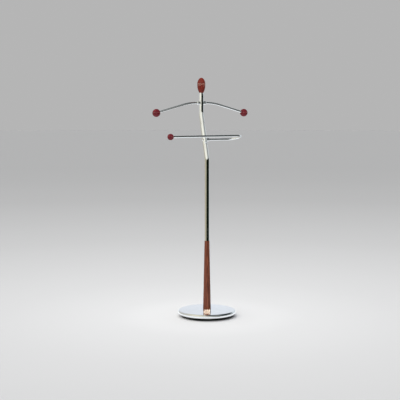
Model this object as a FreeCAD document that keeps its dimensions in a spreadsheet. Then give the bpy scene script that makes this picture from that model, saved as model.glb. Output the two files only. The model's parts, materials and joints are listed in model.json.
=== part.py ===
import FreeCAD, Part
import math
import os
import re

import Sketcher

# Valet stand: a weighted round base, a tapered wood column, a chromed upright with a set-back
# bend, a bowed jacket hanger and a looped trouser bar. Millimetres, +Z up, origin on the floor
# under the centre of the base, X along the hanger, front towards -Y.

SIZES = {
    # base
    "cover_radius": 140.0,
    "cover_widest_height": 22.0,
    "cover_top_edge_radius": 131.0,
    "cover_top_edge_height": 31.0,
    "cover_edge_curve": 9.0,
    "cover_skirt_curve": 15.0,
    "cover_skirt_radius": 137.0,
    "cover_skirt_height": 13.5,
    "cover_sheet": 1.5,
    "seat_radius": 21.0,
    "seat_height": 34.5,
    "weight_radius": 133.5,
    "weight_top": 26.5,
    "weight_shoulder_radius": 60.0,
    "weight_edge_bevel": 2.0,
    "recess_radius": 14.0,
    "recess_top": 22.5,
    "ring_inner_radius": 100.0,
    "ring_outer_radius": 126.0,
    "ring_bottom": 1.5,
    "ring_bevel": 1.5,
    "ring_pitch_radius": 113.0,
    "ring_screw_reach": 22.0,
    "ring_screw_radius": 2.0,
    "ring_screw_head_radius": 4.0,
    "ring_screw_head_depth": 2.4,
    "ring_screw_clearance": 0.25,
    "pad_radius": 9.0,
    "pad_thickness": 3.0,
    # tie rod and its nut
    "tie_radius": 4.0,
    "tie_clearance": 0.5,
    "tie_bottom": 14.0,
    "tie_top": 388.0,
    "tie_nut_across": 13.0,
    "tie_nut_depth": 6.5,
    "tie_washer_radius": 12.0,
    "tie_washer_depth": 1.6,
    # column
    "column_foot_radius": 19.0,
    "column_top_radius": 11.8,
    "column_top": 368.0,
    "column_bevel": 1.0,
    "dowel_radius": 8.0,
    "dowel_depth": 12.0,
    # tubes
    "tube_radius": 11.0,
    "tube_wall": 1.5,
    "plug_height": 24.0,
    "plug_bore_depth": 20.0,
    "seam_height": 716.0,
    "seam_bevel": 0.6,
    "spigot_below": 40.0,
    "spigot_above": 36.0,
    "spigot_bore_radius": 5.0,
    "spigot_screw_height": 734.0,
    "spigot_screw_radius": 2.5,
    "spigot_dimple": 1.0,
    "bend_start": 755.0,
    "bend_curve": 110.0,
    "bend_slope": 13.5,
    "set_back": 50.0,
    "tube_top": 1072.0,
    "top_plug_depth": 22.0,
    "neck_radius": 9.0,
    "neck_height": 8.0,
    # finial
    "finial_height": 72.0,
    "finial_foot_radius": 9.6,
    "finial_radius": 19.5,
    "finial_belly_low": 35.5,
    "finial_belly_high": 43.5,
    "finial_lower_curve": 68.0,
    "finial_shoulder_curve": 35.0,
    "stud_radius": 3.0,
    "stud_depth": 12.0,
    "insert_radius": 4.5,
    "insert_length": 13.0,
    "insert_recess": 2.0,
    # hanger
    "hanger_height": 1031.5,
    "hanger_half_span": 252.0,
    "hanger_straight": 27.0,
    "hanger_curve": 330.0,
    "hanger_slope": 14.5,
    "rod_radius": 5.0,
    "hanger_ball_radius": 19.0,
    "ball_flat_radius": 5.4,
    "hanger_collar_radius": 8.0,
    "hanger_collar_end": 25.0,
    "collar_taper": 3.0,
    "collar_nose": 1.6,
    "collar_screw_radius": 2.0,
    "collar_screw_offset": 17.5,
    "collar_screw_inset": 0.3,
    # trouser bar
    "bar_height": 855.0,
    "bar_spacing": 82.0,
    "bar_bend_start": 133.0,
    "bar_end_reach": 241.0,
    "bar_inner_end": 7.5,
    "bar_ball_radius": 15.0,
    "bar_collar_radius": 7.6,
    "bar_collar_end": 24.0,
    "bar_groove_width": 2.0,
    "bar_groove_depth": 0.8,
    "bar_screw_radius": 2.5,
    "bar_screw_reach": 5.0,
    "bar_screw_head_radius": 4.75,
    "bar_screw_head_height": 2.75,
    "bar_hole_clearance": 0.2,
    "saddle_radius": 6.5,
    "saddle_face": 13.0,
}

SCREW_ANGLES = (0, 90, 180, 270)
PAD_ANGLES = (45, 135, 225, 315)
SIDES = {"left": -1, "right": 1}

X_AXIS = FreeCAD.Vector(1, 0, 0)
Y_AXIS = FreeCAD.Vector(0, 1, 0)
Z_AXIS = FreeCAD.Vector(0, 0, 1)

doc = FreeCAD.newDocument("valet_stand")
nodes = {}


def make_sheet():
    """Spreadsheet that holds every driving size under its own name."""
    sheet = doc.addObject("Spreadsheet::Sheet", "sizes")
    for row, (alias, size) in enumerate(SIZES.items(), start=1):
        sheet.set(f"A{row}", alias.replace("_", " "))
        sheet.set(f"B{row}", str(size))
        sheet.setAlias(f"B{row}", alias)
    doc.recompute()
    return sheet


sizes = make_sheet()


def number(expression):
    """What an expression in the names of the sheet comes to."""
    return float(sizes.evalExpression(expression))


def linked(expression):
    """The same expression for another object, with its names pointed at the sheet."""
    def point(word):
        return "sizes." + word.group() if word.group() in SIZES else word.group()
    return re.sub(r"[a-z][a-z_]*", point, expression)


def keep(node, obj):
    """Name an object as a finished piece of the stand."""
    obj.Label = node
    nodes[node] = obj
    return obj


def place(obj, x="0", y="0", z="0", axis=None, angle="0"):
    """Bind an object's position, and its turn about an axis, to the sheet."""
    if axis is not None:
        obj.Placement = FreeCAD.Placement(FreeCAD.Vector(), FreeCAD.Rotation(axis, number(angle)))
        obj.setExpression("Placement.Rotation.Angle", linked(angle))
    for letter, expression in (("x", x), ("y", y), ("z", z)):
        if expression != "0":
            obj.setExpression("Placement.Base." + letter, linked(expression))
    return obj


# --- sketches -------------------------------------------------------------------------------

def new_sketch(body, plane, name):
    """Empty sketch on one of the body's own origin planes."""
    sketch = body.newObject("Sketcher::SketchObject", f"{body.Name}_{name}")
    support = next(item for item in body.Origin.OriginFeatures if item.Role == plane)
    sketch.AttachmentSupport = [(support, "")]
    sketch.MapMode = "FlatFace"
    return sketch


def pin(sketch, geometry, point, corner):
    """Hold a point of the sketch at its two distances from the origin."""
    for kind, axis, expression in (("DistanceX", -2, corner[0]), ("DistanceY", -1, corner[1])):
        size = number(expression)
        if abs(size) < 1e-9:
            sketch.addConstraint(Sketcher.Constraint("PointOnObject", geometry, point, axis))
        else:
            held = Sketcher.Constraint(kind, -1, 1, geometry, point, size)
            index = sketch.addConstraint(held)
            sketch.setExpression(f"Constraints[{index}]", linked(expression))


def add_arc(sketch, start, finish, expression):
    """Arc from start to finish: a positive radius runs clockwise, a negative one the other way."""
    signed = number(expression)
    radius = abs(signed)
    side = math.copysign(1, signed)
    chord = finish - start
    rise = math.sqrt(max(radius ** 2 - (chord.Length / 2) ** 2, 0))
    centre = (start + finish) * 0.5 + FreeCAD.Vector(chord.y, -chord.x, 0) * (side * rise / chord.Length)
    first, last = (finish, start) if side > 0 else (start, finish)
    first_angle = math.atan2(first.y - centre.y, first.x - centre.x)
    last_angle = math.atan2(last.y - centre.y, last.x - centre.x)
    circle = Part.Circle(centre, Z_AXIS, radius)
    geometry = sketch.addGeometry(Part.ArcOfCircle(circle, first_angle, last_angle), False)
    index = sketch.addConstraint(Sketcher.Constraint("Radius", geometry, radius))
    sketch.setExpression(f"Constraints[{index}]", linked(f"abs({expression})"))
    return (geometry, 2, 1) if side > 0 else (geometry, 1, 2)


def draw_path(sketch, corners, closed):
    """Lines and arcs through the corners, each given as (across, up) or (across, up, arc radius)."""
    points = [FreeCAD.Vector(number(corner[0]), number(corner[1]), 0) for corner in corners]
    count = len(corners) if closed else len(corners) - 1
    pieces = []
    for index in range(count):
        following = (index + 1) % len(corners)
        if len(corners[following]) > 2:
            piece = add_arc(sketch, points[index], points[following], corners[following][2])
        else:
            segment = Part.LineSegment(points[index], points[following])
            piece = (sketch.addGeometry(segment, False), 1, 2)
        pieces.append(piece)
    for index in range(count if closed else count - 1):
        here = pieces[index]
        after = pieces[(index + 1) % count]
        sketch.addConstraint(Sketcher.Constraint("Coincident", here[0], here[2], after[0], after[1]))
    for index, corner in enumerate(corners):
        if index < count:
            pin(sketch, pieces[index][0], pieces[index][1], corner)
        else:
            pin(sketch, pieces[-1][0], pieces[-1][2], corner)
    return sketch


def draw_circles(sketch, radii, across="0", up="0"):
    """Circles about one centre."""
    for expression in radii:
        centre = FreeCAD.Vector(number(across), number(up), 0)
        geometry = sketch.addGeometry(Part.Circle(centre, Z_AXIS, number(expression)), False)
        index = sketch.addConstraint(Sketcher.Constraint("Radius", geometry, number(expression)))
        sketch.setExpression(f"Constraints[{index}]", linked(expression))
        pin(sketch, geometry, 3, (across, up))
    return sketch


# --- features -------------------------------------------------------------------------------

def new_body(name):
    """Body whose features follow."""
    return doc.addObject("PartDesign::Body", name)


def turned(name, corners):
    """Body turned about Z from a closed outline of radii and heights."""
    body = new_body(name)
    sketch = draw_path(new_sketch(body, "XZ_Plane", "outline"), corners, closed=True)
    turn = body.newObject("PartDesign::Revolution", f"{name}_turn")
    turn.Profile = sketch
    turn.ReferenceAxis = (sketch, ["V_Axis"])
    turn.Angle = 360
    sketch.Visibility = False
    return body


def swept(body, name, section_plane, radii, path_plane, corners):
    """Round section swept along a path that starts at the body's origin."""
    section = draw_circles(new_sketch(body, section_plane, f"{name}_section"), radii)
    path = draw_path(new_sketch(body, path_plane, f"{name}_path"), corners, closed=False)
    pipe = body.newObject("PartDesign::AdditivePipe", f"{body.Name}_{name}")
    pipe.Profile = section
    pipe.Spine = (path, [f"Edge{index}" for index in range(1, len(corners))])
    return pipe


def cylinder(name, radius, height):
    """Plain cylinder standing on its own origin."""
    shape = doc.addObject("Part::Cylinder", name)
    shape.setExpression("Radius", linked(radius))
    shape.setExpression("Height", linked(height))
    return shape


def drill(name, radius, x="0", y="0", z="0", axis="x", length="200", both=False):
    """Cylinder used as a cutter, along +X, -X, +Y or +Z, through its point when both is set."""
    turns = {"x": (Y_AXIS, "90"), "-x": (Y_AXIS, "-90"), "y": (X_AXIS, "-90"), "z": (Z_AXIS, "0")}
    steps = {"x": (-1, 0, 0), "-x": (1, 0, 0), "y": (0, -1, 0), "z": (0, 0, -1)}
    cutter = cylinder(name, radius, length)
    position = [x, y, z]
    if both:
        for index, step in enumerate(steps[axis]):
            if step:
                sign = "-" if step < 0 else "+"
                position[index] = f"{position[index]} {sign} ({length}) / 2"
    turn_axis, angle = turns[axis]
    return place(cutter, *position, axis=turn_axis, angle=angle)


def joined(name, shapes):
    """Several separate shapes held as one object."""
    group = doc.addObject("Part::Compound", name)
    group.Links = shapes
    return group


def cut(name, base, cutters):
    """Base with every cutter taken out of it."""
    result = doc.addObject("Part::Cut", name)
    result.Base = base
    result.Tool = cutters[0] if len(cutters) == 1 else joined(f"{name}_cutters", cutters)
    return result


def around(radius, angle):
    """Expressions for a point on a circle about Z."""
    return f"{radius} * cos({angle})", f"{radius} * sin({angle})"


# --- base -----------------------------------------------------------------------------------

def dome_curve():
    """Radius of the ball, centred on the axis, that the dome is part of."""
    fall = "(seat_height - cover_top_edge_height)"
    squares = "cover_top_edge_radius * cover_top_edge_radius - seat_radius * seat_radius"
    depth = f"(({squares} + {fall} * {fall}) / (2 * {fall}))"
    return f"sqrt(seat_radius * seat_radius + {depth} * {depth})"


def make_base_cover():
    """Pressed dome with a flat seat for the column and a skirt that turns in under the rim."""
    corners = [
        ("tie_radius + tie_clearance", "seat_height"),
        ("seat_radius", "seat_height"),
        ("cover_top_edge_radius", "cover_top_edge_height", dome_curve()),
        ("cover_radius", "cover_widest_height", "cover_edge_curve"),
        ("cover_skirt_radius", "cover_skirt_height", "cover_skirt_curve"),
        ("cover_skirt_radius - cover_sheet", "cover_skirt_height"),
        ("cover_radius - cover_sheet", "cover_widest_height", "-(cover_skirt_curve - cover_sheet)"),
        ("cover_top_edge_radius", "cover_top_edge_height - cover_sheet",
         "-(cover_edge_curve - cover_sheet)"),
        ("seat_radius", "seat_height - cover_sheet", f"-{dome_curve()}"),
        ("tie_radius + tie_clearance", "seat_height - cover_sheet"),
    ]
    keep("base_cover", turned("base_cover", corners))


def make_base_weight():
    """Cast disc with a raised seat under the cover and a recess for the nut."""
    corners = [
        ("tie_radius + tie_clearance", "seat_height - cover_sheet"),
        ("seat_radius", "seat_height - cover_sheet"),
        ("weight_shoulder_radius", "weight_top"),
        ("weight_radius - weight_edge_bevel", "weight_top"),
        ("weight_radius", "weight_top - weight_edge_bevel"),
        ("weight_radius", "cover_skirt_height"),
        ("recess_radius", "cover_skirt_height"),
        ("recess_radius", "recess_top"),
        ("tie_radius + tie_clearance", "recess_top"),
    ]
    blank = turned("base_weight_blank", corners)
    holes = []
    for angle in SCREW_ANGLES:
        x, y = around("ring_pitch_radius", angle)
        holes.append(drill(f"tapped_hole_{angle}", "ring_screw_radius", x, y,
                           axis="z", length="ring_screw_reach"))
    keep("base_weight", cut("base_weight", blank, holes))


def make_foot_ring():
    """Plastic ring under the weight, recessed for its screws and its pads."""
    corners = [
        ("ring_inner_radius", "cover_skirt_height"),
        ("ring_outer_radius", "cover_skirt_height"),
        ("ring_outer_radius", "ring_bottom + ring_bevel"),
        ("ring_outer_radius - ring_bevel", "ring_bottom"),
        ("ring_inner_radius + ring_bevel", "ring_bottom"),
        ("ring_inner_radius", "ring_bottom + ring_bevel"),
    ]
    blank = turned("foot_ring_blank", corners)
    cutters = []
    for angle in SCREW_ANGLES:
        x, y = around("ring_pitch_radius", angle)
        cutters.append(drill(f"clearance_hole_{angle}", "ring_screw_radius + ring_screw_clearance",
                             x, y, axis="z", length="ring_screw_reach"))
        sink = doc.addObject("Part::Cone", f"countersink_{angle}")
        sink.setExpression("Radius1", linked("ring_screw_head_radius + ring_screw_clearance"))
        sink.setExpression("Radius2", linked("ring_screw_radius + ring_screw_clearance"))
        sink.setExpression("Height", linked("ring_screw_head_depth"))
        cutters.append(place(sink, x, y, "ring_bottom"))
    for angle in PAD_ANGLES:
        x, y = around("ring_pitch_radius", angle)
        cutters.append(place(cylinder(f"pad_recess_{angle}", "pad_radius + tie_clearance / 2",
                                      "pad_thickness"), x, y))
    result = blank
    for index, cutter in enumerate(cutters):
        result = cut(f"foot_ring_step_{index}", result, [cutter])
    keep("foot_ring", result)


def make_foot_ring_screws():
    """Four countersunk screws with hexagon sockets."""
    screws = []
    for angle in SCREW_ANGLES:
        name = f"foot_ring_screw_{angle}"
        corners = [
            ("0", "0.2"),
            ("ring_screw_head_radius", "0.2"),
            ("ring_screw_radius", "ring_screw_head_depth"),
            ("ring_screw_radius", "ring_screw_reach - ring_bottom - 0.5"),
            ("ring_screw_radius - 0.5", "ring_screw_reach - ring_bottom"),
            ("0", "ring_screw_reach - ring_bottom"),
        ]
        blank = turned(f"{name}_blank", corners)
        screw = cut(name, blank, [socket(f"{name}_socket", "1.25", "1.8")])
        x, y = around("ring_pitch_radius", angle)
        screws.append(place(screw, x, y, "ring_bottom"))
    keep("foot_ring_screws", joined("foot_ring_screws", screws))


def socket(name, across_half, depth):
    """Six-sided cutter standing on its origin, for a hexagon socket."""
    prism = doc.addObject("Part::Prism", name)
    prism.Polygon = 6
    prism.setExpression("Circumradius", linked(f"{across_half} / cos(30)"))
    prism.setExpression("Height", linked(depth))
    return prism


def make_floor_pads():
    """Four round pads that carry the stand."""
    pads = []
    for angle in PAD_ANGLES:
        x, y = around("ring_pitch_radius", angle)
        pads.append(place(cylinder(f"floor_pad_{angle}", "pad_radius", "pad_thickness"), x, y))
    keep("floor_pads", joined("floor_pads", pads))


def make_tie_rod():
    """Threaded rod, drawn at its outer diameter, that pulls base, column and tube together."""
    corners = [
        ("0", "tie_bottom"),
        ("tie_radius - 0.8", "tie_bottom"),
        ("tie_radius", "tie_bottom + 0.8"),
        ("tie_radius", "tie_top - 0.8"),
        ("tie_radius - 0.8", "tie_top"),
        ("0", "tie_top"),
    ]
    keep("tie_rod", turned("tie_rod", corners))
    washer = [
        ("tie_radius + 0.2", "recess_top - tie_washer_depth"),
        ("tie_washer_radius", "recess_top - tie_washer_depth"),
        ("tie_washer_radius", "recess_top"),
        ("tie_radius + 0.2", "recess_top"),
    ]
    keep("tie_washer", turned("tie_washer", washer))
    bottom = "recess_top - tie_washer_depth - tie_nut_depth"
    blank = place(socket("tie_nut_blank", "tie_nut_across / 2", "tie_nut_depth"), z=bottom)
    bore = drill("tie_nut_bore", "tie_radius", axis="z", length="recess_top")
    keep("tie_nut", cut("tie_nut", blank, [bore]))


# --- column and tubes -----------------------------------------------------------------------

def make_column():
    """Tapered column, bored for the tie rod and counterbored for the dowel."""
    corners = [
        ("tie_radius + tie_clearance", "seat_height"),
        ("column_foot_radius - column_bevel", "seat_height"),
        ("column_foot_radius", "seat_height + column_bevel"),
        ("column_top_radius", "column_top - column_bevel"),
        ("column_top_radius - column_bevel * 0.8", "column_top"),
        ("dowel_radius", "column_top"),
        ("dowel_radius", "column_top - dowel_depth"),
        ("tie_radius + tie_clearance", "column_top - dowel_depth"),
    ]
    keep("column", turned("column", corners))


def make_lower_plug():
    """Threaded plug in the foot of the lower tube, with a dowel that centres it in the wood."""
    corners = [
        ("tie_radius", "column_top - dowel_depth"),
        ("dowel_radius", "column_top - dowel_depth"),
        ("dowel_radius", "column_top"),
        ("tube_radius - tube_wall", "column_top"),
        ("tube_radius - tube_wall", "column_top + plug_height - 1"),
        ("tube_radius - tube_wall - 1", "column_top + plug_height"),
        ("0", "column_top + plug_height"),
        ("0", "column_top + plug_bore_depth"),
        ("tie_radius", "column_top + plug_bore_depth"),
    ]
    keep("lower_plug", turned("lower_plug", corners))


def make_lower_tube():
    """Straight tube from the column to the seam, its upper edge bevelled."""
    corners = [
        ("tube_radius - tube_wall", "column_top"),
        ("tube_radius", "column_top"),
        ("tube_radius", "seam_height - seam_bevel"),
        ("tube_radius - seam_bevel", "seam_height"),
        ("tube_radius - tube_wall", "seam_height"),
    ]
    keep("lower_tube", turned("lower_tube", corners))


def make_joint_spigot():
    """Bored spigot inside both tubes, dimpled at the back for its screw."""
    low = "seam_height - spigot_below"
    high = "seam_height + spigot_above"
    corners = [
        ("spigot_bore_radius", low),
        ("tube_radius - tube_wall - 1", low),
        ("tube_radius - tube_wall", f"{low} + 1"),
        ("tube_radius - tube_wall", f"{high} - 1"),
        ("tube_radius - tube_wall - 1", high),
        ("spigot_bore_radius", high),
    ]
    blank = turned("joint_spigot_blank", corners)
    dimple = drill("spigot_dimple", "spigot_screw_radius", z="spigot_screw_height", axis="y",
                   y="tube_radius - tube_wall - spigot_dimple", length="20")
    keep("joint_spigot", cut("joint_spigot", blank, [dimple]))


def grub_screw(name, radius, length, socket_half):
    """Short headless screw standing on its point, socket at the top."""
    corners = [
        ("0", "0"),
        (f"{radius} - 0.4", "0"),
        (radius, "0.4"),
        (radius, length),
        ("0", length),
    ]
    blank = turned(f"{name}_blank", corners)
    key = place(socket(f"{name}_socket", socket_half, length), z=f"({length}) * 0.45")
    return cut(name, blank, [key])


def make_spigot_screw():
    """Grub screw that locks the upper tube on the spigot."""
    screw = grub_screw("spigot_screw", "spigot_screw_radius", "tube_wall + spigot_dimple - 0.2", "1.25")
    place(screw, y="tube_radius - tube_wall - spigot_dimple", z="spigot_screw_height",
          axis=X_AXIS, angle="-90")
    keep("spigot_screw", screw)


def bend_rise():
    """Height that the set-back bend takes up between its two vertical runs."""
    curves = "2 * bend_curve * sin(bend_slope)"
    return f"({curves} + {slope_run()} * cos(bend_slope))"


def slope_run():
    """Length of the straight run between the two curves of the bend."""
    return "((set_back - 2 * bend_curve * (1 - cos(bend_slope))) / sin(bend_slope))"


def make_upper_tube():
    """Tube that rises, leans back, and rises again, drilled for the hanger and the trouser bar."""
    first = "(bend_start - seam_height)"
    curve_out = "bend_curve * (1 - cos(bend_slope))"
    curve_up = "bend_curve * sin(bend_slope)"
    corners = [
        ("0", "0"),
        ("0", first),
        (curve_out, f"{first} + {curve_up}", "bend_curve"),
        (f"set_back - {curve_out}", f"{first} + {bend_rise()} - {curve_up}"),
        ("set_back", f"{first} + {bend_rise()}", "-bend_curve"),
        ("set_back", "tube_top - seam_height"),
    ]
    body = new_body("upper_tube_blank")
    swept(body, "tube", "XY_Plane", ("tube_radius", "tube_radius - tube_wall"), "YZ_Plane", corners)
    place(body, z="seam_height")
    cutters = [
        drill("hanger_hole", "rod_radius", y="set_back", z="hanger_height", length="60", both=True),
        drill("bar_hole", "rod_radius", "0", bar_y(), "bar_height", length="30"),
        drill("bar_screw_hole", "bar_screw_radius + bar_hole_clearance", "0", bar_y(), "bar_height",
              axis="-x", length="30"),
        drill("spigot_screw_hole", "spigot_screw_radius", z="spigot_screw_height", axis="y",
              length="20"),
    ]
    keep("upper_tube", cut("upper_tube", body, cutters))


def bar_y():
    """How far back the leaning tube's axis is at the trouser bar's height."""
    curve_out = "bend_curve * (1 - cos(bend_slope))"
    curve_up = "bend_curve * sin(bend_slope)"
    return f"({curve_out} + (bar_height - bend_start - {curve_up}) * tan(bend_slope))"


# --- finial ---------------------------------------------------------------------------------

def make_top_plug():
    """Threaded plug in the tube's top, with a short neck under the finial."""
    corners = [
        ("stud_radius", "tube_top - top_plug_depth"),
        ("tube_radius - tube_wall - 1", "tube_top - top_plug_depth"),
        ("tube_radius - tube_wall", "tube_top - top_plug_depth + 1"),
        ("tube_radius - tube_wall", "tube_top"),
        ("neck_radius", "tube_top"),
        ("neck_radius", "tube_top + neck_height"),
        ("stud_radius", "tube_top + neck_height"),
    ]
    keep("top_plug", place(turned("top_plug", corners), y="set_back"))


def finial_tip():
    """Where the shoulder curve meets the rounded tip, and the tip's radius."""
    inset = "(finial_shoulder_curve - finial_radius)"
    rise = "(finial_height - finial_belly_high)"
    squares = f"finial_shoulder_curve * finial_shoulder_curve - {inset} * {inset} - {rise} * {rise}"
    curve = f"(({squares}) / (2 * (finial_shoulder_curve - {rise})))"
    gap = f"(finial_shoulder_curve - {curve})"
    across = f"{inset} * {curve} / {gap}"
    up = f"finial_belly_high + finial_shoulder_curve * ({rise} - {curve}) / {gap}"
    return across, up, curve


def make_finial():
    """Egg-shaped finial, bored from below for its insert."""
    tip_across, tip_up, tip_curve = finial_tip()
    corners = [
        ("insert_radius", "0"),
        ("finial_foot_radius", "0"),
        ("finial_radius", "finial_belly_low", "-finial_lower_curve"),
        ("finial_radius", "finial_belly_high"),
        (tip_across, tip_up, "-finial_shoulder_curve"),
        ("0", "finial_height", f"-{tip_curve}"),
        ("0", "insert_length + insert_recess"),
        ("insert_radius", "insert_length + insert_recess"),
    ]
    finial = turned("finial", corners)
    keep("finial", place(finial, y="set_back", z="tube_top + neck_height"))
    insert = [
        ("stud_radius", "0"),
        ("insert_radius", "0"),
        ("insert_radius", "insert_length"),
        ("stud_radius", "insert_length"),
    ]
    piece = turned("finial_insert", insert)
    keep("finial_insert", place(piece, y="set_back", z="tube_top + neck_height"))
    stud = cylinder("finial_stud", "stud_radius", "top_plug_depth + neck_height + stud_depth - 4")
    keep("finial_stud", place(stud, y="set_back", z="tube_top - top_plug_depth + 4"))


# --- hanger ---------------------------------------------------------------------------------

def hanger_corners(half_span):
    """One arm of the hanger: level at the tube, then curving down to a straight run."""
    curve_out = "hanger_straight + hanger_curve * sin(hanger_slope)"
    curve_down = "hanger_curve * (1 - cos(hanger_slope))"
    return [
        ("0", "0"),
        ("hanger_straight", "0"),
        (curve_out, f"-({curve_down})", "hanger_curve"),
        (half_span, f"-({curve_down} + ({half_span} - ({curve_out})) * tan(hanger_slope))"),
    ]


def hanger_drop():
    """How far the ball centres lie below the middle of the rod."""
    return hanger_corners("hanger_half_span")[-1][1]


def ball_face(radius):
    """Distance from a ball's centre to its flat."""
    return f"sqrt({radius} * {radius} - ball_flat_radius * ball_flat_radius)"


def make_hanger_rod():
    """Bowed rod, its ends turned down to studs."""
    body = new_body("hanger_rod")
    shoulder = f"hanger_half_span - {ball_face('hanger_ball_radius')} * cos(hanger_slope)"
    tip = f"{shoulder} + stud_depth * cos(hanger_slope)"
    arm = swept(body, "arm", "YZ_Plane", ("rod_radius",), "XZ_Plane", hanger_corners(shoulder))
    stud = swept(body, "stud", "YZ_Plane", ("stud_radius",), "XZ_Plane", hanger_corners(tip))
    mirror = body.newObject("PartDesign::Mirrored", "hanger_rod_mirror")
    mirror.Originals = [arm, stud]
    middle = next(item for item in body.Origin.OriginFeatures if item.Role == "YZ_Plane")
    mirror.MirrorPlane = (middle, [""])
    body.Tip = mirror
    keep("hanger_rod", place(body, y="set_back", z="hanger_height"))


def make_hanger_collars():
    """A turned collar on each side of the tube, saddled to it and tapped at the back."""
    screws = []
    for side, sign in SIDES.items():
        corners = [
            ("rod_radius", "tube_radius - 2"),
            ("hanger_collar_radius", "tube_radius - 2"),
            ("hanger_collar_radius", "hanger_collar_end - collar_taper"),
            ("hanger_collar_radius - collar_nose", "hanger_collar_end"),
            ("rod_radius", "hanger_collar_end"),
        ]
        blank = turned(f"hanger_collar_{side}_blank", corners)
        place(blank, y="set_back", z="hanger_height", axis=Y_AXIS, angle=str(90 * sign))
        saddle = drill(f"hanger_saddle_{side}", "tube_radius", y="set_back", z="hanger_height",
                       axis="z", length="60", both=True)
        tapped = drill(f"hanger_tapped_{side}", "collar_screw_radius",
                       f"{sign} * collar_screw_offset", "set_back", "hanger_height",
                       axis="y", length="20")
        collar = cut(f"hanger_collar_{side}", blank, [saddle, tapped])
        keep(f"hanger_collar_{side}", collar)
        length = "hanger_collar_radius - rod_radius - collar_screw_inset"
        screw = grub_screw(f"hanger_set_screw_{side}", "collar_screw_radius", length, "1")
        screws.append(place(screw, f"{sign} * collar_screw_offset", "set_back + rod_radius",
                            "hanger_height", axis=X_AXIS, angle="-90"))
    keep("hanger_set_screws", joined("hanger_set_screws", screws))


def turned_ball(name, radius):
    """Ball about its own origin, its flat and bore towards +Z."""
    corners = [
        ("insert_radius", ball_face(radius)),
        ("ball_flat_radius", ball_face(radius)),
        ("0", f"-{radius}", radius),
        ("0", f"{ball_face(radius)} - insert_length - insert_recess"),
        ("insert_radius", f"{ball_face(radius)} - insert_length - insert_recess"),
    ]
    return turned(name, corners)


def ball_insert(name, radius):
    """Threaded insert in a ball that sits about the same origin."""
    corners = [
        ("stud_radius", f"{ball_face(radius)} - insert_length"),
        ("insert_radius", f"{ball_face(radius)} - insert_length"),
        ("insert_radius", ball_face(radius)),
        ("stud_radius", ball_face(radius)),
    ]
    return turned(name, corners)


def make_balls():
    """The two hanger balls, the smaller trouser bar ball, and the inserts in all three."""
    inserts = []
    for side, sign in SIDES.items():
        spot = {
            "x": f"{sign} * hanger_half_span",
            "y": "set_back",
            "z": f"hanger_height + {hanger_drop()}",
            "axis": Y_AXIS,
            "angle": f"{-sign} * (90 - hanger_slope)",
        }
        ball = turned_ball(f"hanger_ball_{side}", "hanger_ball_radius")
        keep(f"hanger_ball_{side}", place(ball, **spot))
        inserts.append(place(ball_insert(f"hanger_insert_{side}", "hanger_ball_radius"), **spot))
    spot = {
        "x": "-bar_end_reach",
        "y": f"{bar_y()} - bar_spacing * cos(bend_slope)",
        "z": "bar_height + bar_spacing * sin(bend_slope)",
        "axis": Y_AXIS,
        "angle": "90",
    }
    keep("trouser_ball", place(turned_ball("trouser_ball", "bar_ball_radius"), **spot))
    inserts.append(place(ball_insert("trouser_insert", "bar_ball_radius"), **spot))
    keep("ball_inserts", joined("ball_inserts", inserts))


# --- trouser bar ----------------------------------------------------------------------------

def make_trouser_bar():
    """Long loop of rod at right angles to the leaning tube, its rear end tapped for a screw."""
    body = new_body("trouser_bar_blank")
    bend = "bar_bend_start + bar_inner_end"
    shoulder = f"-(bar_end_reach - bar_inner_end - {ball_face('bar_ball_radius')})"
    loop = [
        ("0", "0"),
        (bend, "0"),
        (f"{bend} + bar_spacing / 2", "-bar_spacing / 2", "bar_spacing / 2"),
        (bend, "-bar_spacing", "bar_spacing / 2"),
        (shoulder, "-bar_spacing"),
    ]
    swept(body, "loop", "YZ_Plane", ("rod_radius",), "XY_Plane", loop)
    tip = loop[:-1] + [(f"{shoulder} - stud_depth", "-bar_spacing")]
    swept(body, "stud", "YZ_Plane", ("stud_radius",), "XY_Plane", tip)
    place(body, "-bar_inner_end", bar_y(), "bar_height", axis=X_AXIS, angle="-bend_slope")
    tapped = drill("bar_tapped_hole", "bar_screw_radius", "-bar_inner_end", bar_y(), "bar_height",
                   length="bar_inner_end + bar_screw_reach + 2")
    keep("trouser_bar", cut("trouser_bar", body, [tapped]))


def leaning_drill(name, radius):
    """Cutter along the leaning tube's axis at the trouser bar."""
    cutter = cylinder(name, radius, "60")
    return place(cutter, "0", f"{bar_y()} - 30 * sin(bend_slope)",
                 "bar_height - 30 * cos(bend_slope)", axis=X_AXIS, angle="-bend_slope")


def make_trouser_collar():
    """Grooved collar between the tube and the trouser bar."""
    groove_low = "(tube_radius + bar_collar_end) / 2 - bar_groove_width / 2"
    groove_high = "(tube_radius + bar_collar_end) / 2 + bar_groove_width / 2"
    corners = [
        ("rod_radius", "tube_radius - 2"),
        ("bar_collar_radius", "tube_radius - 2"),
        ("bar_collar_radius", groove_low),
        ("bar_collar_radius - bar_groove_depth", f"{groove_low} + 0.4"),
        ("bar_collar_radius - bar_groove_depth", f"{groove_high} - 0.4"),
        ("bar_collar_radius", groove_high),
        ("bar_collar_radius", "bar_collar_end - 1"),
        ("bar_collar_radius - 1", "bar_collar_end"),
        ("rod_radius", "bar_collar_end"),
    ]
    blank = turned("trouser_collar_blank", corners)
    place(blank, "0", bar_y(), "bar_height", axis=Y_AXIS, angle="90")
    saddle = leaning_drill("trouser_collar_saddle", "tube_radius")
    keep("trouser_collar", cut("trouser_collar", blank, [saddle]))


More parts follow.
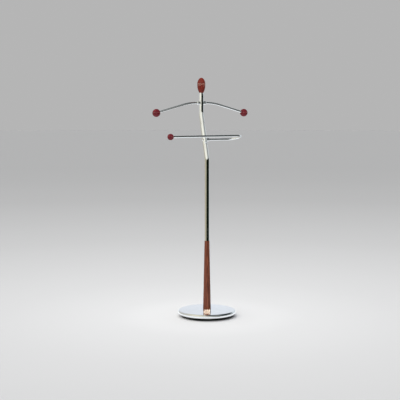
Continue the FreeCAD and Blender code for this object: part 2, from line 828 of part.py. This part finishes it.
def make_trouser_screw():
    """Button head screw from the far side of the tube, and the saddled washer under its head."""
    washer = [
        ("bar_screw_radius + bar_hole_clearance", "tube_radius - 3"),
        ("saddle_radius", "tube_radius - 3"),
        ("saddle_radius", "saddle_face - 0.5"),
        ("saddle_radius - 0.5", "saddle_face"),
        ("bar_screw_radius + bar_hole_clearance", "saddle_face"),
    ]
    blank = turned("saddle_washer_blank", washer)
    place(blank, "0", bar_y(), "bar_height", axis=Y_AXIS, angle="-90")
    saddle = leaning_drill("saddle_washer_saddle", "tube_radius")
    keep("saddle_washer", cut("saddle_washer", blank, [saddle]))
    top = "saddle_face + bar_screw_head_height"
    screw = [
        ("0", "-bar_screw_reach"),
        ("bar_screw_radius - 0.5", "-bar_screw_reach"),
        ("bar_screw_radius", "-bar_screw_reach + 0.5"),
        ("bar_screw_radius", "saddle_face"),
        ("bar_screw_head_radius", "saddle_face"),
        ("bar_screw_head_radius", "saddle_face + 0.5"),
        ("bar_screw_radius", top, "-4.2"),
        ("0", top),
    ]
    blank = turned("trouser_screw_blank", screw)
    key = place(socket("trouser_screw_socket", "1.5", "3"), z=f"{top} - 1.8")
    result = cut("trouser_screw", blank, [key])
    keep("trouser_screw", place(result, "0", bar_y(), "bar_height", axis=Y_AXIS, angle="-90"))


# --- check and write ------------------------------------------------------------------------

def check_document():
    """Stop if any object failed, or if any piece is empty or broken."""
    failed = [obj.Name for obj in doc.Objects if "Invalid" in obj.State or "Error" in obj.State]
    if failed:
        raise RuntimeError("failed objects: " + ", ".join(failed))
    for node, obj in nodes.items():
        if obj.Shape.isNull() or not obj.Shape.isValid() or obj.Shape.Volume <= 0:
            raise RuntimeError("bad shape: " + node)


def write_parts():
    """One STEP file for each piece, with its volume and extent printed."""
    os.makedirs("parts", exist_ok=True)
    for node, obj in nodes.items():
        obj.Shape.exportStep(f"parts/{node}.step")
        box = obj.Shape.BoundBox
        print(f"{node:22s} solids {len(obj.Shape.Solids)} volume {obj.Shape.Volume:11.1f}"
              f"  x {box.XMin:8.2f} {box.XMax:8.2f}  y {box.YMin:8.2f} {box.YMax:8.2f}"
              f"  z {box.ZMin:8.2f} {box.ZMax:8.2f}")


make_base_cover()
make_base_weight()
make_foot_ring()
make_foot_ring_screws()
make_floor_pads()
make_tie_rod()
make_column()
make_lower_plug()
make_lower_tube()
make_joint_spigot()
make_spigot_screw()
make_upper_tube()
make_top_plug()
make_finial()
make_hanger_rod()
make_hanger_collars()
make_balls()
make_trouser_bar()
make_trouser_collar()
make_trouser_screw()
doc.recompute()
check_document()
write_parts()
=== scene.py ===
import json
import math

import bmesh
import bpy
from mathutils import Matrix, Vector

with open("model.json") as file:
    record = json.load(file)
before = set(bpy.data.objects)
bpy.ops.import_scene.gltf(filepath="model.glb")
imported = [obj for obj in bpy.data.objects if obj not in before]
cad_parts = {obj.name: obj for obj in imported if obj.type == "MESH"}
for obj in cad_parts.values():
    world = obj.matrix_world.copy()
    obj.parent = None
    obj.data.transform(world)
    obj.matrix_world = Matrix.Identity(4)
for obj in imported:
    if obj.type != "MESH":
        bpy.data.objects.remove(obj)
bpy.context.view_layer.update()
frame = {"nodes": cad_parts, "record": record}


# ---------------------------------------------------------------------------------------------
# Node helpers
# ---------------------------------------------------------------------------------------------

class Nodes:
    """Adds nodes to one tree; an input is a socket to link from or a value to set."""

    def __init__(self, tree):
        self.tree = tree

    def add(self, kind, settings=None, **inputs):
        node = self.tree.nodes.new(kind)
        for key, value in (settings or {}).items():
            setattr(node, key, value)
        for key, value in inputs.items():
            self.feed(node.inputs[key.replace("_", " ")], value)
        return node

    def feed(self, socket, value):
        if isinstance(value, bpy.types.NodeSocket):
            self.tree.links.new(value, socket)
        else:
            socket.default_value = value

    def between(self, value, low, high, to_low=0.0, to_high=1.0, shape="LINEAR"):
        """The value taken from the range low to high into the range to_low to to_high."""
        node = self.add("ShaderNodeMapRange", {"interpolation_type": shape}, Value=value)
        for key, number in (("From Min", low), ("From Max", high), ("To Min", to_low), ("To Max", to_high)):
            node.inputs[key].default_value = number
        return node.outputs["Result"]

    def ramp(self, value, *stops):
        """A colour ramp through (place, colour) stops."""
        node = self.add("ShaderNodeValToRGB", Fac=value)
        elements = node.color_ramp.elements
        while len(elements) < len(stops):
            elements.new(0.5)
        for element, (place, colour) in zip(elements, stops):
            element.position = place
            element.color = (*colour, 1.0)
        return node.outputs["Color"]

    def mixed(self, amount, first, second):
        """Two colours mixed; either may be a socket or three numbers."""
        node = self.add("ShaderNodeMix", {"data_type": "RGBA"})
        self.feed(node.inputs[0], amount)
        for socket, colour in ((node.inputs[6], first), (node.inputs[7], second)):
            self.feed(socket, colour if isinstance(colour, bpy.types.NodeSocket) else (*colour, 1.0))
        return node.outputs[2]

    def maths(self, operation, *values):
        node = self.add("ShaderNodeMath", {"operation": operation})
        for socket, value in zip(node.inputs, values):
            self.feed(socket, value)
        return node.outputs[0]


class Finish(Nodes):
    """A Principled material whose pattern is worked out from the position on the part, in metres."""

    def __init__(self, name, **constants):
        self.material = bpy.data.materials.new(name)
        self.material.use_nodes = True
        super().__init__(self.material.node_tree)
        self.shader = self.tree.nodes["Principled BSDF"]
        self.position = self.add("ShaderNodeTexCoord").outputs["Object"]
        for socket, value in constants.items():
            self.shader.inputs[socket.replace("_", " ")].default_value = value

    def scaled(self, scale, offset=(0, 0, 0)):
        """The position stretched and shifted, so that a pattern can run along the grain."""
        node = self.add("ShaderNodeMapping", Vector=self.position)
        node.inputs["Location"].default_value = offset
        node.inputs["Scale"].default_value = scale
        return node.outputs["Vector"]

    def noise(self, scale, detail=3.0, roughness=0.55, distortion=0.0, vector=None):
        node = self.add("ShaderNodeTexNoise", Vector=vector or self.position, Scale=scale,
                        Detail=detail, Roughness=roughness, Distortion=distortion)
        return node.outputs["Fac"]

    def spots(self, scale):
        return self.add("ShaderNodeTexVoronoi", Vector=self.position, Scale=scale).outputs["Distance"]

    def rings(self, scale, axis, distortion, vector):
        """Growth rings round an axis, as 0 to 1."""
        node = self.add("ShaderNodeTexWave", {"wave_type": "RINGS", "rings_direction": axis}, Vector=vector,
                        Scale=scale, Distortion=distortion, Detail=2.0, Detail_Scale=1.5)
        return node.outputs["Fac"]

    def bumped(self, height, depth, strength=1.0, under=None):
        """A normal raised by height times depth, in metres, on top of another bump if one is given."""
        node = self.add("ShaderNodeBump", Height=height, Distance=depth, Strength=strength)
        if under is not None:
            self.feed(node.inputs["Normal"], under)
        return node.outputs["Normal"]

    def finished(self, **sockets):
        """Feeds the shader's own inputs, such as Base_Color, and gives the material."""
        for key, socket in sockets.items():
            self.feed(self.shader.inputs[key.replace("_", " ")], socket)
        return self.material


# ---------------------------------------------------------------------------------------------
# Materials
# ---------------------------------------------------------------------------------------------

def chrome(name, tint, haze, polish_lines, line_scale, line_depth):
    """Decorative chromium plate: a mirror with a thin uneven haze, finger marks and polishing lines."""
    finish = Finish(name, Metallic=1.0)
    cloud = finish.noise(38.0, detail=4.0)
    wiped = finish.noise(9.0, detail=5.0, distortion=1.2)
    specks = finish.between(finish.spots(420.0), 0.0, 0.16, 1.0, 0.0)
    dulled = finish.maths("MULTIPLY", specks, finish.between(cloud, 0.5, 0.8))
    dull_tint = tuple(0.86 * part for part in tint)
    soft = finish.between(cloud, 0.3, 0.75, haze, haze + 0.075)
    lines = finish.noise(line_scale, detail=2.0, vector=finish.scaled(polish_lines))
    swell = finish.bumped(finish.noise(22.0, detail=1.0), 0.00006)
    return finish.finished(
        Base_Color=finish.mixed(finish.between(wiped, 0.35, 0.75, 0.0, 0.6), tint, dull_tint),
        Roughness=finish.maths("ADD", soft, finish.maths("MULTIPLY", dulled, 0.22)),
        Normal=finish.bumped(lines, line_depth, under=swell))


def wood(name, dark, mid, light, along, ring_scale, ring_share, seed):
    """Close-grained hardwood, stained red-brown, under a full-gloss lacquer."""
    finish = Finish(name, Coat_Weight=0.25, Coat_Roughness=0.045, Coat_IOR=1.5, Specular_IOR_Level=0.05)

    def along_grain(squeeze, offset=(0, 0, 0)):
        return finish.scaled(tuple(squeeze if axis == along else 1.0 for axis in "XYZ"), offset)

    fibres = along_grain(0.09, seed)
    rings = finish.rings(ring_scale, along, 5.0, along_grain(0.25, seed))
    streaks = finish.noise(150.0, detail=5.0, roughness=0.6, vector=fibres)
    cloud = finish.noise(26.0, detail=3.0, vector=fibres)
    grain = finish.maths("ADD", finish.maths("MULTIPLY", rings, ring_share),
                         finish.maths("MULTIPLY", streaks, 1.0 - ring_share))
    body = finish.ramp(grain, (0.22, dark), (0.5, mid), (0.78, light))
    toned = finish.mixed(finish.between(cloud, 0.3, 0.7, 0.0, 0.45), body, dark)
    pores = finish.noise(620.0, detail=2.0, vector=along_grain(0.05))
    pits = finish.between(pores, 0.62, 0.74)
    pit_colour = tuple(0.35 * part for part in dark)
    swell = finish.bumped(finish.noise(90.0, detail=2.0), 0.00005)
    return finish.finished(
        Base_Color=finish.mixed(finish.maths("MULTIPLY", pits, 0.5), toned, pit_colour),
        Roughness=finish.between(streaks, 0.3, 0.7, 0.28, 0.46),
        Normal=finish.bumped(pits, 0.00005, strength=0.6, under=swell),
        Coat_Normal=swell)


def moulded(name, base, worn, rough_low, rough_high, grit, depth):
    """Moulded plastic or rubber with a fine spark-eroded texture and scuffed high spots."""
    finish = Finish(name, Specular_IOR_Level=0.15)
    fine = finish.noise(grit, detail=2.0)
    scuff = finish.between(finish.noise(55.0, detail=6.0, roughness=0.7), 0.52, 0.72)
    return finish.finished(
        Base_Color=finish.mixed(finish.maths("MULTIPLY", scuff, 0.6), base, worn),
        Roughness=finish.between(fine, 0.3, 0.7, rough_low, rough_high),
        Normal=finish.bumped(fine, depth, under=finish.bumped(scuff, 0.00004)))


def cast_iron(name, thin_paint, thick_paint, rusty):
    """Sand-cast iron under thin black paint: pebbled skin with rust in the low spots."""
    finish = Finish(name, Specular_IOR_Level=0.4)
    pebble = finish.noise(330.0, detail=5.0, roughness=0.65)
    patches = finish.noise(24.0, detail=6.0, roughness=0.7)
    paint = finish.ramp(pebble, (0.3, thin_paint), (0.7, thick_paint))
    rust = finish.maths("MULTIPLY", finish.between(patches, 0.56, 0.68), finish.between(pebble, 0.6, 0.4))
    return finish.finished(
        Base_Color=finish.mixed(rust, paint, rusty),
        Roughness=finish.between(pebble, 0.3, 0.7, 0.48, 0.8),
        Normal=finish.bumped(pebble, 0.0006, under=finish.bumped(patches, 0.0008)))


def bare_metal(name, base, stained, rough_low, rough_high):
    """Small turned or rolled hardware: tool marks round the piece, with a film that varies."""
    finish = Finish(name, Metallic=1.0)
    film = finish.noise(140.0, detail=5.0)
    marks = finish.noise(900.0, detail=2.0, vector=finish.scaled((0.2, 0.2, 1.0)))
    return finish.finished(
        Base_Color=finish.mixed(finish.between(film, 0.4, 0.7, 0.0, 0.85), base, stained),
        Roughness=finish.between(film, 0.3, 0.7, rough_low, rough_high),
        Normal=finish.bumped(marks, 0.00003, under=finish.bumped(film, 0.00004)))


CHROME_TINT = (0.90, 0.91, 0.92)
COVER_TINT = (0.83, 0.835, 0.85)
MAHOGANY = {"dark": (0.080, 0.016, 0.008), "mid": (0.200, 0.044, 0.020), "light": (0.330, 0.085, 0.040)}
BURGUNDY = {"dark": (0.085, 0.008, 0.015), "mid": (0.200, 0.018, 0.030), "light": (0.300, 0.036, 0.048)}
ROSEWOOD = {"dark": (0.095, 0.013, 0.012), "mid": (0.225, 0.030, 0.022), "light": (0.350, 0.058, 0.036)}

FINISHES = {
    "polished_cover": chrome("polished_cover", COVER_TINT, haze=0.035, polish_lines=(1.0, 1.0, 1.0),
                             line_scale=160.0, line_depth=0.000006),
    "tube_chrome": chrome("tube_chrome", CHROME_TINT, haze=0.05, polish_lines=(1.0, 1.0, 0.06),
                          line_scale=700.0, line_depth=0.000006),
    "rod_chrome": chrome("rod_chrome", CHROME_TINT, haze=0.06, polish_lines=(0.06, 1.0, 1.0),
                         line_scale=700.0, line_depth=0.000006),
    "turned_chrome": chrome("turned_chrome", CHROME_TINT, haze=0.06, polish_lines=(1.0, 0.05, 0.05),
                            line_scale=2400.0, line_depth=0.00001),
    "column_wood": wood("column_wood", along="Z", ring_scale=70.0, ring_share=0.42,
                        seed=(0.011, 0.027, 0.0), **MAHOGANY),
    "ball_wood": wood("ball_wood", along="X", ring_scale=95.0, ring_share=0.20,
                      seed=(0.0, 0.019, 0.033), **BURGUNDY),
    "cast_iron": cast_iron("cast_iron", thin_paint=(0.018, 0.018, 0.019), thick_paint=(0.055, 0.054, 0.053),
                           rusty=(0.16, 0.062, 0.026)),
    "black_plastic": moulded("black_plastic", base=(0.006, 0.007, 0.008), worn=(0.026, 0.027, 0.028),
                             rough_low=0.34, rough_high=0.55, grit=1300.0, depth=0.00006),
    "rubber": moulded("rubber", base=(0.022, 0.021, 0.020), worn=(0.10, 0.095, 0.09),
                      rough_low=0.62, rough_high=0.85, grit=700.0, depth=0.00012),
    "zinc_steel": bare_metal("zinc_steel", base=(0.60, 0.60, 0.58), stained=(0.42, 0.41, 0.36),
                             rough_low=0.24, rough_high=0.42),
    "black_steel": bare_metal("black_steel", base=(0.10, 0.10, 0.105), stained=(0.055, 0.052, 0.05),
                              rough_low=0.32, rough_high=0.5),
    "brass": bare_metal("brass", base=(0.78, 0.56, 0.24), stained=(0.50, 0.33, 0.13),
                        rough_low=0.2, rough_high=0.4),
}


def dress(part, finish):
    """Gives a part its finish in every material slot it has."""
    for holder in part.material_slots:
        holder.link = "OBJECT"
        holder.material = finish


for row in frame["record"]["subparts"]:
    dress(frame["nodes"][row["node"]], FINISHES[row["material_slot"]])
# the finial is turned with its grain upright
dress(frame["nodes"]["finial"], wood("finial_wood", along="Z", ring_scale=80.0, ring_share=0.28,
                                     seed=(0.017, 0.006, 0.0), **ROSEWOOD))


# ---------------------------------------------------------------------------------------------
# Studio: camera, floor, background and the surroundings that the chrome mirrors.
# Turns are degrees in plan round the stand, from the camera's side towards its right.
# ---------------------------------------------------------------------------------------------

CAMERA_SPOT = Vector((-2.659, -3.992, 1.010))
LOOK = Vector((0.54616, 0.83259, -0.0922))
LENS_MM = 90.0
SENSOR_MM = 36.0

# grey of the floor by distance from the stand, in metres: a painted pool of light, lighter near the stand
# and darker far off
FLOOR_REACH = 40.0
FLOOR_SIDES = 96
FLOOR_PAINTED_LIGHT_TONES = ((0.3, 0.848), (0.47, 0.80), (1.0, 0.73), (1.8, 0.665), (2.8, 0.597), (4.2, 0.54),
               (6.1, 0.482), (9.1, 0.450), (12.0, 0.438))
FLOOR_TINT = (0.99, 0.99, 1.045)
BACKGROUND = (0.463, 0.463, 0.463)

# colours by turn in a band that starts at the horizon, and in the ceiling above it
BAND = ((-180, (0.84, 0.89, 0.955)), (-130, (0.62, 0.63, 0.60)), (-95, (0.62, 0.61, 0.54)),
        (-60, (1.0, 0.98, 0.87)), (0, (1.0, 1.0, 0.88)), (22, (0.85, 0.86, 0.80)), (40, (0.34, 0.35, 0.34)),
        (112, (0.36, 0.38, 0.38)), (125, (0.7, 0.78, 0.8)), (180, (0.84, 0.89, 0.955)))
OLIVE, CEILING_DARK, CEILING_GREY = (0.80, 0.77, 0.58), (0.01, 0.02, 0.02), (0.50, 0.51, 0.50)
CEILING = ((-180, (0.20, 0.21, 0.21)), (-165, (0.62, 0.62, 0.55)), (-120, OLIVE), (-45, OLIVE),
           (-30, (0.50, 0.50, 0.46)), (-12, (0.50, 0.50, 0.48)), (-7, CEILING_DARK), (34, CEILING_DARK),
           (42, CEILING_GREY), (62, CEILING_GREY), (69, CEILING_DARK), (165, CEILING_DARK),
           (180, (0.20, 0.21, 0.21)))
# elevation in degrees at which the ceiling starts, by turn, and the degrees over which it fades in
CEILING_STARTS = ((-180, 26.0), (-130, 46.0), (-20, 50.0), (5, 46.0), (20, 34.0), (60, 24.0), (180, 24.0))
CEILING_FADE = 8.0

# ramps and a mat round the stand: (distance, height) of their edges in metres, and their colours
LOW_EDGES = ((1.9, 0.002), (5.5, 0.90))
HIGH_EDGES = ((1.9, 0.002), (5.5, 1.25))
RIGHT_EDGES = ((0.95, 0.002), *HIGH_EDGES)
MAT_EDGES = ((0.15, 0.001), (0.9, 0.001))
CREAM_FAR, CREAM, CREAM_NEAR = (0.50, 0.47, 0.36), (0.46, 0.43, 0.32), (0.40, 0.39, 0.28)
BLACK, NEAR_BLACK = (0.003, 0.006, 0.003), (0.02, 0.024, 0.015)
COOL, MAT_WHITE = (0.69, 0.77, 0.79), (1.12, 1.17, 1.20)
PANEL_STEPS = 24
PANELS = (
    # name, turns it spans, colours across it, edges
    ("cream_panel", (-150, -28), (CREAM_FAR, CREAM, CREAM, CREAM_NEAR), LOW_EDGES),
    ("front_left_panel", (-28, 0), (NEAR_BLACK, BLACK), LOW_EDGES),
    ("front_panel", (0, 60), (BLACK, BLACK), HIGH_EDGES),
    ("right_panel", (60, 122), (BLACK, NEAR_BLACK), RIGHT_EDGES),
    ("cool_panel", (122, 165), (COOL, COOL), LOW_EDGES),
    ("bright_mat", (-180, 180), (MAT_WHITE, MAT_WHITE), MAT_EDGES),
)

SUNS = (
    # name, turn, elevation and spread in degrees, strength
    ("key", -60, 74.0, 90.0, 1.47),
    ("fill", 150, 40.0, 60.0, 0.5),
)

# warm strip lights in front of the stand, and the parts whose lacquer mirrors them
STRIP_TURNS = (-90, -60, -30, 0, 30, 60, 90)
STRIP_AWAY, STRIP_CENTRE = 5.0, 1.45
STRIP_WIDTH, STRIP_HEIGHT = 2.68, 0.72
STRIP_COLOUR = (1.0, 0.88, 0.70)
STRIPS = (
    # name, parts, power of each light in watts
    ("column_strip", ("column",), 450.0),
    ("ball_strip", ("finial", "hanger_ball_left", "hanger_ball_right", "trouser_ball"), 43.0),
)


def to_side(turn):
    """Unit plan direction from the stand at a turn."""
    towards = Vector((CAMERA_SPOT.x, CAMERA_SPOT.y)).normalized()
    right = Vector((-towards.y, towards.x))
    return math.cos(math.radians(turn)) * towards + math.sin(math.radians(turn)) * right


def put(name, data, looking=None):
    """A new object in the scene, turned to face along a direction if one is given."""
    thing = bpy.data.objects.new(name, data)
    if looking is not None:
        thing.rotation_mode = "QUATERNION"
        thing.rotation_quaternion = looking.to_track_quat("-Z", "Y")
    bpy.context.scene.collection.objects.link(thing)
    return thing


def make_camera():
    data = bpy.data.cameras.new("camera")
    data.lens = LENS_MM
    data.sensor_width = SENSOR_MM
    data.clip_end = 2 * FLOOR_REACH
    camera = put("camera", data, looking=LOOK)
    camera.location = CAMERA_SPOT
    bpy.context.scene.camera = camera


def new_stage_object(name, mesh, material):
    """An object of the studio, which is no part of the stand."""
    data = bpy.data.meshes.new(name)
    mesh.to_mesh(data)
    mesh.free()
    data.materials.append(material)
    piece = put(name, data)
    return piece


def make_floor():
    """A pale round floor with a painted pool of light: its colour is brightest under the stand and fades
    into the grey background.
    """
    mesh = bmesh.new()
    bmesh.ops.create_circle(mesh, cap_ends=True, segments=FLOOR_SIDES, radius=FLOOR_REACH)
    finish = Finish("floor_paper", Specular_IOR_Level=0.0, Roughness=0.9)
    length = finish.add("ShaderNodeVectorMath", {"operation": "LENGTH"}, Vector=finish.position)
    farthest = FLOOR_PAINTED_LIGHT_TONES[-1][0]
    share = finish.maths("DIVIDE", length.outputs["Value"], farthest)
    # the ramp paints light into the floor's colour, brightest near the stand
    stops = [(spot / farthest, tuple(tone * tint for tint in FLOOR_TINT)) for spot, tone in FLOOR_PAINTED_LIGHT_TONES]
    new_stage_object("floor", mesh, finish.finished(Base_Color=finish.ramp(share, *stops)))


def make_sky():
    """Grey for the camera; for reflections a bright band from the horizon up, and a dark ceiling."""
    world = bpy.data.worlds.new("studio")
    world.use_nodes = True
    bpy.context.scene.world = world
    sky = Nodes(world.node_tree)
    place = sky.add("ShaderNodeTexCoord").outputs["Generated"]

    def along(*direction):
        node = sky.add("ShaderNodeVectorMath", {"operation": "DOT_PRODUCT"})
        sky.feed(node.inputs[0], place)
        sky.feed(node.inputs[1], direction)
        return node.outputs["Value"]

    turn = sky.maths("ARCTAN2", along(*to_side(90), 0), along(*to_side(0), 0))
    turn_share = sky.maths("ADD", sky.maths("DIVIDE", turn, 2 * math.pi), 0.5)

    def by_turn(stops):
        return sky.ramp(turn_share, *[(degrees / 360 + 0.5, colour) for degrees, colour in stops])

    elevation = sky.maths("MULTIPLY", sky.maths("ARCSINE", along(0, 0, 1)), math.degrees(1.0))
    starts = by_turn([(degrees, (start / 90,) * 3) for degrees, start in CEILING_STARTS])
    above = sky.maths("SUBTRACT", elevation, sky.maths("MULTIPLY", starts, 90.0))
    ceiling_share = sky.between(above, 0.0, CEILING_FADE, shape="SMOOTHSTEP")
    mirrored = sky.mixed(ceiling_share, by_turn(BAND), by_turn(CEILING))
    seen = sky.add("ShaderNodeLightPath").outputs["Is Camera Ray"]
    sky.feed(sky.tree.nodes["Background"].inputs["Color"], sky.mixed(seen, mirrored, BACKGROUND))


def glowing(name):
    """A material that gives off the colours painted on the mesh as shade."""
    material = bpy.data.materials.new(name)
    material.use_nodes = True
    glow = Nodes(material.node_tree)
    glow.tree.nodes.clear()
    shade = glow.add("ShaderNodeVertexColor", {"layer_name": "shade"}).outputs["Color"]
    light = glow.add("ShaderNodeEmission", Color=shade).outputs["Emission"]
    glow.add("ShaderNodeOutputMaterial", Surface=light)
    return material


def make_panel(name, turns, colours, edges):
    """A low curved ramp round the stand, seen only in reflections; colours run across it."""
    mesh = bmesh.new()
    first_turn, last_turn = turns
    columns = []
    for step in range(PANEL_STEPS + 1):
        side = to_side(first_turn + (last_turn - first_turn) * step / PANEL_STEPS)
        columns.append([mesh.verts.new((*(side * away), height)) for away, height in edges])
    for left, right in zip(columns, columns[1:]):
        for low, high in zip(range(len(edges)), range(1, len(edges))):
            mesh.faces.new((left[low], right[low], right[high], left[high]))
    mesh.verts.index_update()
    shades = mesh.loops.layers.float_color.new("shade")
    for face in mesh.faces:
        for loop in face.loops:
            spot = loop.vert.index // len(edges) / PANEL_STEPS * (len(colours) - 1)
            first = min(int(spot), len(colours) - 2)
            pair = zip(colours[first], colours[first + 1])
            loop[shades] = [*(a + (b - a) * (spot - first) for a, b in pair), 1.0]
    panel = new_stage_object(name, mesh, glowing(name))
    panel.visible_camera = False
    panel.visible_diffuse = False
    panel.visible_shadow = False


def make_sun(name, turn, elevation, spread, strength):
    """Broad soft white light from one side and above, which leaves no image in the chrome."""
    data = bpy.data.lights.new(name, "SUN")
    data.angle = math.radians(spread)
    data.energy = strength
    side = to_side(turn) * math.cos(math.radians(elevation))
    lamp = put(name, data, looking=Vector((-side.x, -side.y, -math.sin(math.radians(elevation)))))
    lamp.visible_glossy = False


def make_strips(name, labels, power):
    """Low warm strip lights in front, mirrored only by the lacquer of the named parts."""
    reached = bpy.data.collections.new("reached_by_" + name)
    for label in labels:
        reached.objects.link(frame["nodes"][label])
    for turn in STRIP_TURNS:
        data = bpy.data.lights.new(name, "AREA")
        data.shape = "RECTANGLE"
        data.size = STRIP_WIDTH
        data.size_y = STRIP_HEIGHT
        data.energy = power
        data.color = STRIP_COLOUR
        side = to_side(turn) * STRIP_AWAY
        lamp = put(name, data, looking=Vector((-side.x, -side.y, 0.0)))
        lamp.location = (side.x, side.y, STRIP_CENTRE)
        lamp.light_linking.receiver_collection = reached
        lamp.visible_diffuse = False


make_camera()
make_floor()
make_sky()
for panel_row in PANELS:
    make_panel(*panel_row)
for sun_row in SUNS:
    make_sun(*sun_row)
for strip_row in STRIPS:
    make_strips(*strip_row)
bpy.context.scene.view_settings.view_transform = "Standard"
